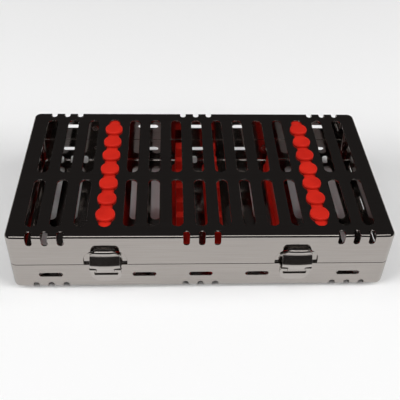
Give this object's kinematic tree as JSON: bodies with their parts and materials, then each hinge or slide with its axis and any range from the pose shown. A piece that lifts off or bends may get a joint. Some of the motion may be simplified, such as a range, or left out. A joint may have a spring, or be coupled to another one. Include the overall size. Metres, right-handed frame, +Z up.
{
  "type": "instrument cassette",
  "caption": "Perforated steel instrument cassette with a hinged lid, front latches and red silicone rails that hold instruments.",
  "frame": {"origin": "middle of the plane that the closed cassette rests on, under the tray's silicone buttons", "axes": "+X along the long side, to the right as seen from the latches; +Y from the latches to the hinges; +Z up"},
  "size_m": [0.203, 0.1214, 0.0412],
  "materials": {
    "lid_steel": "polished stainless sheet with a fine brushed grain",
    "tray_steel": "satin stainless sheet with a fine brushed grain",
    "hinge_steel": "satin stainless strip",
    "latch_steel": "polished stainless strip",
    "pin_steel": "drawn stainless wire",
    "rivet_steel": "stainless, domed heads",
    "red_silicone": "smooth satin moulded silicone"
  },
  "bodies": {
    "tray": {"tray_shell": "tray_steel", "tray_rail_left": "red_silicone", "tray_rail_right": "red_silicone", "tray_rail_centre_left": "red_silicone", "tray_rail_centre_right": "red_silicone", "hinge_tray_leaf_left": "hinge_steel", "hinge_tray_leaf_right": "hinge_steel", "tray_hinge_rivets": "rivet_steel", "hinge_pin_left": "pin_steel", "hinge_pin_right": "pin_steel", "latch_bracket_left": "latch_steel", "latch_bracket_right": "latch_steel", "latch_pin_left": "pin_steel", "latch_pin_right": "pin_steel"},
    "lid": {"lid_shell": "lid_steel", "lid_rail_left": "red_silicone", "lid_rail_right": "red_silicone", "hinge_lid_leaf_left": "hinge_steel", "hinge_lid_leaf_right": "hinge_steel", "lid_hinge_rivets": "rivet_steel"},
    "latch_left": {"latch_lever_left": "latch_steel"},
    "latch_right": {"latch_lever_right": "latch_steel"}
  },
  "joints": [
    {"name": "lid_hinge", "type": "hinge", "parent": "tray", "child": "lid", "pos_m": [0, 0.05855, 0.0206], "axis": [-1, 0, 0], "range_deg": [0, 180]},
    {"name": "latch_left_pivot", "type": "hinge", "parent": "tray", "child": "latch_left", "pos_m": [-0.0508, -0.0579, 0.0179], "axis": [1, 0, 0], "range_deg": [0, 75]},
    {"name": "latch_right_pivot", "type": "hinge", "parent": "tray", "child": "latch_right", "pos_m": [0.0508, -0.0579, 0.0179], "axis": [1, 0, 0], "range_deg": [0, 75]}
  ]
}
